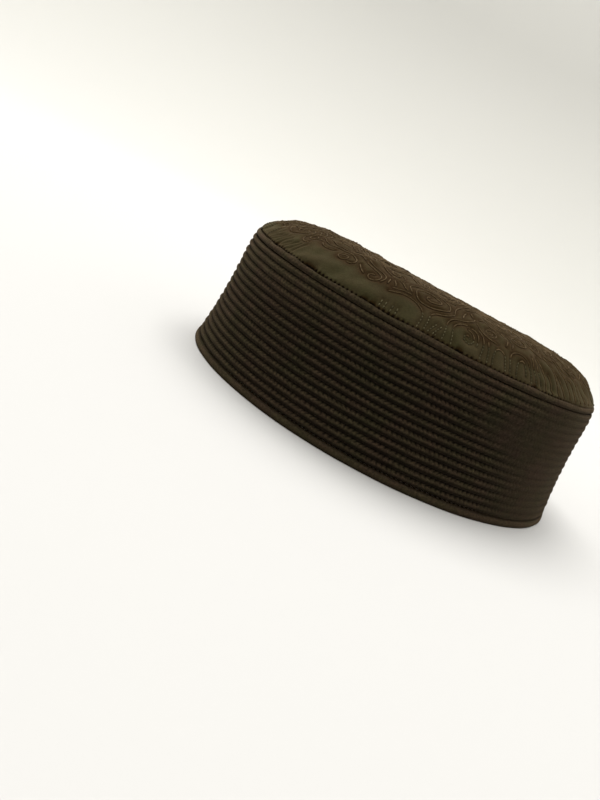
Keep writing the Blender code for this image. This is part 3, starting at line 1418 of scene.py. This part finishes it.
@dataclass
class Crown:
    """The round top: cloth puffed between quilting lines, and the stitches that hold it down.

    Slits, where the seam stands open, are given by their middle and half their width in degrees. The
    tucked edge is given by its drop under the seam and its depth past the wall's inside. Of the angles
    where the seam's stitches are hidden, the first two and the next two are where hiding grows, and
    the last two are where it ends.
    """

    outline: CapOutline
    cells: int = 294
    depth: float = 0.00042
    puff_width: float = 0.00085
    dome: float = 0.00024
    dome_width: float = 0.0030
    sag: Waves = Waves(0.00022, 0.009, 52)
    waviness: Waves = Waves(0.00034, 0.022, 53)
    rise: float = 0.00016
    rise_inset: Pair = (0.008, 0.032)
    held_inset: Pair = (0.0, 0.0025)
    tuck: float = 0.0010
    hole_pull: Pair = (0.5, 0.4)
    hole_variety: Waves = Waves(0.35, 0.005, 54)
    hole_width: float = 0.0007
    slit_width: float = 0.0009
    slit_depth: float = 0.0018
    slits: Marks = ((197.0, 1.0), (214.3, 2.2), (233.0, 1.0), (235.2, 0.8), (259.4, 0.9), (283.4, 0.8))
    needle_holes: int = 264
    hiding: Pair = (0.35, 0.8)
    hiding_angles: tuple[Pair, Pair, Pair] = ((245.0, 262.0), (292.0, 308.0), (330.0, 350.0))
    shade: Pair = (0.28, 0.82)
    shade_start: Pair = (0.0062, 0.0115)
    shade_width: float = 0.0027
    tucked_edge: Marks = ((0.0012, 0.0), (0.0048, 0.0), (0.0048, 0.0010))
    tucked_light_share: float = 0.5
    underside: Shares = (1.0, 0.985, 0.94, 0.85, 0.70, 0.50, 0.25)
    underside_inset: float = 0.0030
    underside_pitch: float = 0.006
    open_reach: float = 0.0080
    pleat_margins: Pair = (0.03, 0.05)
    cord: Thread = Thread(radius=0.00026)
    cord_length: float = 0.0024
    cord_overlap: float = 0.0008
    cord_sinks: Shares = (0.5, 0.7, 0.75, 0.7, 0.5)
    thread: Thread = Thread(radius=0.00027)
    stitch_pitch: float = 0.00128
    stitch_gap: float = 0.00045
    stitch_shares: Shares = (0.0, 0.2, 0.5, 0.8, 1.0)
    stitch_sinks: Shares = (-0.5, 0.45, 0.7, 0.45, -0.5)
    stitch_rise: float = 0.45
    seam_thread: Thread = Thread(radius=0.00040)
    seam_shares: Shares = (-0.22, -0.12, 0.0, 0.12, 0.22)
    seam_sinks: Pair = (0.6, 1.2)
    widest_sewn: float = 0.4
    sheet: CrownSheet = field(init=False)
    quilting: ScrollQuilting = field(init=False)
    tree: KDTree = field(init=False)

    def __post_init__(self) -> None:
        """Roll the crown out and draw its quilting."""
        self.sheet = CrownSheet(self.outline)
        self.quilting = ScrollQuilting(self.sheet.reach)
        marks = np.concatenate(self.quilting.book.lines)
        self.tree = KDTree(len(marks))
        for number, (x, y) in enumerate(marks.tolist()):
            self.tree.insert((x, y, 0.0), number)
        self.tree.balance()

    def gape(self, turn: Array) -> Array:
        """Find how far the seam stands open at angles in degrees, 1 in the middle of a slit."""
        return sum(bell(turn - middle, half, 4) for middle, half in self.slits)

    def hidden(self, turn: Array) -> Array:
        """Find how far the cloth hides the seam's stitches.

        Args:
            turn: Angles round the cap in degrees, from 0 to 360.

        Returns:
            The share hidden, 0 where they show plainly.
        """
        half, full = self.hiding
        grow, close, end = self.hiding_angles
        middle = half * smooth_step(*grow, turn)
        return (middle + (full - middle) * smooth_step(*close, turn)) * (1.0 - smooth_step(*end, turn))

    def edge_pull(self, flat: Array) -> Array:
        """Find how hard the seam pulls at the cloth: at each needle hole, and most where a slit gapes.

        Args:
            flat: Flat points, one a row.

        Returns:
            The pull, about 1 along the seam and 0 a few millimetres in.
        """
        inset = self.sheet.inset(flat)
        turn = np.degrees(heading(flat)) % 360.0
        plain = 1.0 - self.hidden(turn)
        strength = 1.0 + self.hole_variety.at(flat)
        mean, swing = self.hole_pull
        holes = (mean + swing * np.cos(np.radians(turn) * self.needle_holes)) * plain * strength
        slits = self.slit_depth / self.tuck * self.gape(turn)
        return holes * bell(inset, self.hole_width) + slits * np.exp(-inset / self.slit_width)

    def lift(self, flat: Array, distance: Array | float = 0.0) -> Array:
        """Shape the quilted cloth.

        Args:
            flat: Flat points, one a row.
            distance: How far each is from a quilting line.

        Returns:
            How far the cloth stands proud of the skin.
        """
        inset = self.sheet.inset(flat)
        puff = self.depth * (1.0 - bell(distance, self.puff_width))
        dome = self.dome * (1.0 - bell(distance, self.dome_width))
        uneven = self.sag.at(flat) + self.waviness.at(flat)
        held = smooth_step(*self.held_inset, inset)
        middle = self.rise * smooth_step(*self.rise_inset, inset)
        return (puff + dome - self.depth + uneven) * held + middle - self.tuck * self.edge_pull(flat)

    def build_cloth(self) -> Piece:
        """Make the crown's cloth: the quilted top, the tucked edge and the plain inside.

        Returns:
            The new object.
        """
        steps = np.linspace(-1.0, 1.0, self.cells + 1)
        a, b = np.meshgrid(steps, steps)
        wide = np.abs(a) >= np.abs(b)
        far = np.where(wide, a, b)
        ratio = np.divide(np.where(wide, b, a), far, out=np.zeros_like(a), where=far != 0.0)
        turn = np.where(wide, pi / 4 * ratio, pi / 2 - pi / 4 * ratio)
        grid = self.sheet.reach * from_polar(far, turn)
        flat = grid.reshape(-1, 2)
        distance = np.array([self.tree.find((x, y, 0.0))[2] for x, y in flat.tolist()])
        top = self.sheet.skin(flat) + self.lift(flat, distance)[:, None] * self.sheet.outward(flat)
        # Painted shade: the cloth darkens near each quilting line, where the puffs dip, and at the seam's
        # needle holes and slits.
        low, high = self.shade
        shade = low + (high - low) * smooth_step(*self.shade_start, self.sheet.inset(flat))
        light_share = 1.0 - shade * np.exp(-distance / self.shade_width) - self.edge_pull(flat)
        made = ClothMesh("crown_cloth_top")
        numbers = made.add_points(top, np.clip(light_share, 0.0, 1.0)).reshape(a.shape)
        made.add_grid(numbers, grid[..., 0], grid[..., 1])
        rim = np.concatenate([numbers[:-1, 0], numbers[-1, :-1], numbers[:0:-1, -1], numbers[0, :0:-1]])
        self.add_underside(made, rim, flat[rim])
        return made.build()

    def add_underside(self, made: ClothMesh, rim: Array, edge: Array) -> None:
        """Close the crown with its tucked edge and its plain inside.

        Args:
            made: The mesh in work.
            rim: The point numbers of the top's edge, in order.
            edge: The edge's flat points.
        """
        outline, sheet = self.outline, self.sheet
        rows = [rim]
        for drop, past in self.tucked_edge:
            station = np.full(len(rim), outline.seam_height - drop)
            points = outline.lifted(heading(edge), station, -(outline.wall + outline.gap + past))
            rows.append(made.add_points(points, self.tucked_light_share))
        for share in self.underside:
            inner = edge * share * (sheet.reach - self.underside_inset) / sheet.reach
            points = sheet.skin(inner) - outline.crown_wall * sheet.outward(inner)
            rows.append(made.add_points(points, LINING_LIGHT_SHARE))
        grid = closed(np.stack(rows), 1)
        girth = np.linspace(0.0, tau * sheet.reach, grid.shape[1])
        made.add_grid(grid, girth, np.arange(len(rows))[:, None] * self.underside_pitch)
        middle = np.zeros((1, 2))
        points = sheet.skin(middle) - outline.crown_wall * sheet.outward(middle)
        made.add_fan(grid[-1, :-1], grid[-1, 1:], made.add_points(points, LINING_LIGHT_SHARE))

    def is_low(self, line: Array) -> Array:
        """Say which points of a line lie near the seam, off the combed cloth."""
        combed = within(heading(line) % tau, *self.quilting.combed_cloth)
        return (self.sheet.inset(line) < self.open_reach) & ~combed

    def pleated(self, line: Array) -> Array:
        """Say which points of a line lie in the fan of pleats, which are pressed and not sewn."""
        low, high = self.quilting.pleats
        before, after = self.pleat_margins
        return self.is_low(line) & within(heading(line) % tau, low - before, high + after)

    def stretches(self, near_seam: bool) -> list[Array]:
        """Gather the sewn stretches of the lines that run near the seam, or all the others.

        Args:
            near_seam: True for the stretches near the seam.

        Returns:
            The stretches, each a path of close points.
        """
        found = []
        for line in self.quilting.book.lines:
            low = self.is_low(line)
            for part in np.split(line, np.flatnonzero(low[1:] != low[:-1]) + 1):
                if len(part) > 2 and self.is_low(part)[1] == near_seam and not self.pleated(part)[1]:
                    found.append(part)
        return found

    def sewn(self, name: str, thread: Thread, lines: list[Array], pitch: float, gap: float) -> Piece:
        """Sew some lines.

        Args:
            name: The new piece's name.
            thread: What to sew with.
            lines: The lines, each a path of close flat points.
            pitch: The way from one stitch to the next.
            gap: The open way between two stitches, negative where they overlap.

        Returns:
            The new object.
        """
        sinks = np.array(self.stitch_sinks if gap > 0.0 else self.cord_sinks)
        flats = []
        for line in lines:
            ways = walk(line)
            count = max(1, int(ways[-1] / pitch))
            starts = np.arange(count) * ways[-1] / count + gap / 2
            marks = starts[:, None] + np.array(self.stitch_shares) * (ways[-1] / count - gap)
            flats.append(points_along(line, ways, marks))
        flat = np.concatenate(flats)
        lift = self.lift(flat.reshape(-1, 2)).reshape(flat.shape[:2])
        lift = lift + thread.radius * (self.stitch_rise + sinks)
        normals = self.sheet.outward(flat)
        return thread.sew(name, self.sheet.skin(flat) + lift[..., None] * normals, normals)

    def build_cords(self) -> Piece:
        """Lay the close, unbroken stitching of the scrolls."""
        lines = self.stretches(near_seam=False)
        return self.sewn("crown_cords", self.cord, lines, self.cord_length, -self.cord_overlap)

    def build_stitches(self) -> Piece:
        """Sew the open stitches of the lines near the seam."""
        lines = self.stretches(near_seam=True)
        return self.sewn("crown_stitches", self.thread, lines, self.stitch_pitch, self.stitch_gap)

    def build_seam_stitches(self) -> Piece:
        """Sew the crown to the fold under it, but for the slits.

        Returns:
            The new object.
        """
        holes = np.arange(self.needle_holes)
        holes = holes[self.gape(holes * 360.0 / self.needle_holes) < self.widest_sewn]
        turn = (holes[:, None] + np.array(self.seam_shares)) * tau / self.needle_holes
        station = np.full(turn.shape, self.outline.seam_height + self.outline.gap / 2)
        shown, covered = self.seam_sinks
        lift = -(shown + covered * self.hidden(np.degrees(turn) % 360.0)) * self.seam_thread.radius
        points = self.outline.lifted(turn, station, lift)
        return self.seam_thread.sew("seam_stitches", points, self.outline.outward(turn, station))


@dataclass
class PrayerCap:
    """The whole cap, piece by piece."""

    outline: CapOutline
    # In both cottons the lighter crest colour is painted light, broken up by dust, and the darker crease
    # colour is painted shade.
    band_finish: WovenCotton = WovenCotton(
        name="band_cotton",
        main=(0.0212, 0.0150, 0.0095, 1.0),
        patch=(0.0178, 0.0150, 0.0082, 1.0),
        lit_and_dusty_crest=(0.0500, 0.0372, 0.0215, 1.0),
        shaded_crease=(0.0046, 0.0035, 0.0023, 1.0),
        grain=0.55,
    )
    crown_finish: WovenCotton = WovenCotton(
        name="crown_cotton",
        main=(0.0232, 0.0128, 0.0040, 1.0),
        patch=(0.0262, 0.0152, 0.0055, 1.0),
        lit_and_dusty_crest=(0.0400, 0.0345, 0.0160, 1.0),
        shaded_crease=(0.0040, 0.0025, 0.0013, 1.0),
        dustiness=0.15,
        warm=(1.04, 0.98, 1.02, 1.0),
        cool=(0.96, 1.02, 0.96, 1.0),
    )
    band_thread: SewingThread = SewingThread(
        name="band_thread", main=(0.0040, 0.0024, 0.0013, 1.0), light=(0.0080, 0.0050, 0.0028, 1.0)
    )
    crown_cord: SewingThread = SewingThread(
        name="crown_cord", main=(0.0640, 0.0425, 0.0185, 1.0), light=(0.1180, 0.0800, 0.0400, 1.0)
    )
    crown_thread: SewingThread = SewingThread(
        name="crown_thread", main=(0.0420, 0.0370, 0.0180, 1.0), light=(0.1150, 0.1000, 0.0540, 1.0)
    )
    seam_thread: SewingThread = SewingThread(
        name="seam_thread", main=(0.0070, 0.0040, 0.0018, 1.0), light=(0.0110, 0.0065, 0.0032, 1.0),
        sheen=0.0, shine=0.01,
    )

    def build(self) -> None:
        """Build and dress every piece, from the rim up."""
        outline, band, crown = self.outline, SideBand(self.outline), Crown(self.outline)
        finish = self.band_finish.make()
        hem = PlainStrip(
            name="hem_cloth", outline=outline, bottom=0.0, top=outline.hem_height - outline.gap / 2,
            columns=792, outer_rows=12, bulge=0.00010, pucker=0.00006, ripple=Waves(0.00012, 0.25, 11),
            shifts=Waves(2.5, 0.5, 14), variety=Waves(0.4, 0.12, 15),
        )
        dress(hem.build(), finish, Slot.BAND, "hem")
        cloth = dress(band.build_cloth(), finish, Slot.BAND, "side_band")
        dress(band.build_stitches(), self.band_thread.make(), Slot.BAND)
        fold = PlainStrip(
            name="seam_fold_cloth", outline=outline, bottom=band.top + outline.gap / 2,
            top=outline.seam_height, columns=1056, outer_rows=10, bulge=0.00018, pucker=0.00014,
            ripple=Waves(0.00010, 0.25, 23), shifts=Waves(2.5, 0.5, 26), variety=Waves(0.4, 0.12, 27),
            top_wander=Waves(0.00022, 0.16, 24), shade=0.92,
        )
        dress(fold.build(), finish, Slot.BAND, "seam_fold")
        cloth = dress(crown.build_cloth(), self.crown_finish.make(), Slot.CROWN, "crown")
        dress(crown.build_cords(), self.crown_cord.make(), Slot.CROWN)
        dress(crown.build_stitches(), self.crown_thread.make(), Slot.CROWN)
        dress(crown.build_seam_stitches(), self.seam_thread.make(), Slot.BAND)


@dataclass(frozen=True)
class StudioSweep:
    """A round, pale floor whose far edge curves up into a low wall."""

    floor_radii: Shares = (0.05, 0.2, 0.35, 0.5, 0.7)
    floor_radius: float = 0.95
    curve: float = 0.55
    wall_top: float = 1.10
    far_shade_radii: Pair = (1.5, 0.5)
    segments: int = 96
    curve_rows: int = 14

    def build(self) -> None:
        """Make the sweep."""
        turn = np.linspace(0.0, pi / 2, self.curve_rows)
        bend = self.floor_radius + self.curve * np.sin(turn)
        radius = np.array([*self.floor_radii, *bend, bend[-1]])[:, None]
        climb = self.curve * (1.0 - np.cos(turn))
        height = np.array([*np.zeros(len(self.floor_radii)), *climb, self.wall_top])[:, None]
        angle = np.linspace(tau, 0.0, self.segments, endpoint=False)
        x, y = radius * np.cos(angle), radius * np.sin(angle)
        points = np.stack(np.broadcast_arrays(x, y, height), axis=-1)
        made = ClothMesh("studio_sweep")
        # The painted light share falls away from the middle, for the paper's painted shade far behind.
        numbers = closed(made.add_points(points, smooth_step(*self.far_shade_radii, radius)), 1)
        made.add_grid(numbers, 0.0, 0.0)
        made.add_fan(numbers[0, 1:], numbers[0, :-1], made.add_points(np.zeros((1, 3)), 1.0))
        sweep = made.build()
        sweep.data.materials.append(PalePaper().make())


@dataclass(frozen=True)
class SoftBox:
    """A large soft lamp that hangs some way off and faces the cap."""

    name: str
    way: tuple[float, float, float]
    distance: float
    size: float
    watts: float
    tint: tuple[float, float, float] = (1.0, 0.985, 0.95)
    aim: tuple[float, float, float] = (0.0, 0.0, 0.03)

    def hang(self) -> None:
        """Make the lamp."""
        lamp = bpy.data.lights.new(self.name, "AREA")
        lamp.shape = "SQUARE"
        lamp.size = self.size
        lamp.energy = self.watts
        lamp.color = self.tint
        held = put(self.name, lamp)
        way = Vector(self.way).normalized()
        held.location = Vector(self.aim) + way * self.distance
        held.rotation_mode = "QUATERNION"
        held.rotation_quaternion = way.to_track_quat("Z", "Y")


@dataclass(frozen=True)
class SkyGlow:
    """The even, pale light of the room."""

    colour: Colour = (1.0, 0.99, 0.965, 1.0)
    strength: float = 0.40

    def light(self) -> None:
        """Set the world's light."""
        world = bpy.data.worlds.new("room_glow")
        world.use_nodes = True
        background = world.node_tree.nodes["Background"]
        background.inputs["Color"].default_value = self.colour
        background.inputs["Strength"].default_value = self.strength
        bpy.context.scene.world = world


@dataclass(frozen=True)
class Viewpoint:
    """The photograph's view of the cap."""

    aim: tuple[float, float, float] = (-0.0353, 0.0058, -0.0086)
    distance: float = 0.3800
    azimuth: float = -17.147
    elevation: float = 14.923
    roll: float = 28.10
    lens: float = 34.04
    film: float = 36.0
    clip: Pair = (0.01, 20.0)

    def place(self) -> None:
        """Make the camera."""
        camera = bpy.data.cameras.new("photo_view")
        camera.lens = self.lens
        camera.sensor_width = self.film
        camera.clip_start, camera.clip_end = self.clip
        held = put("photo_view", camera)
        a = radians(self.azimuth)
        e = radians(self.elevation)
        back = Vector((sin(a) * cos(e), -cos(a) * cos(e), sin(e)))
        level = (-back).to_track_quat("-Z", "Y")
        held.rotation_mode = "QUATERNION"
        held.rotation_quaternion = level @ Matrix.Rotation(radians(self.roll), 3, "Z").to_quaternion()
        held.location = Vector(self.aim) + back * self.distance
        bpy.context.scene.camera = held


def write_sizes() -> None:
    """Bring the view layer up to date."""
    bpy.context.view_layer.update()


def main() -> None:
    """Build the cap, the studio and the camera."""
    logging.basicConfig(level=logging.INFO, format="%(name)s %(message)s")
    low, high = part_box("hem")
    outline = CapOutline(half_length=(high[0] - low[0]) / 2, half_width=(high[1] - low[1]) / 2)
    Viewpoint().place()
    PrayerCap(outline).build()
    StudioSweep().build()
    SkyGlow().light()
    SoftBox("ceiling_panel", way=(0.00, 0.29, 0.95), distance=2.2, size=2.0, watts=81.0).hang()
    bpy.context.scene.view_settings.view_transform = "Standard"
    write_sizes()


if __name__ == "__main__":
    main()
